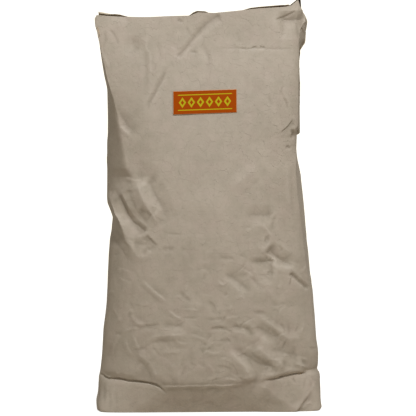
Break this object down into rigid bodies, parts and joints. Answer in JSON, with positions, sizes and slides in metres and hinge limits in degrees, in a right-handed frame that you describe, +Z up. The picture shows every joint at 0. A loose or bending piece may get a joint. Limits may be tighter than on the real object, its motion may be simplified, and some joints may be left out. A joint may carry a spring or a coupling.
{
  "type": "bag of vermiculite",
  "caption": "Filled paper valve sack of loose vermiculite, standing on its pasted block bottom, with a small plain label on the front.",
  "frame": {"origin": "centre of the sack's footprint box, at the floor under the bottom block", "axes": "+Z up the height, the front panel with the label looks along -Y, the valve corner is towards +X"},
  "size_m": [0.5628, 0.2658, 1.0203],
  "materials": {
    "sack_paper": "matt grey-beige kraft paper, soft crumples, darker in the folds",
    "vermiculite": "loose golden-brown expanded flakes",
    "sleeve_paper": "unbleached brown kraft paper",
    "patch_paper": "matt grey-beige kraft paper, glued flat",
    "label_print": "printed orange sticker with a narrow pale edge"
  },
  "bodies": {
    "root": {"paper_sack": "sack_paper", "vermiculite_fill": "vermiculite", "valve_sleeve": "sleeve_paper", "top_patch": "patch_paper", "bottom_patch": "patch_paper", "front_label": "label_print"}
  },
  "joints": []
}
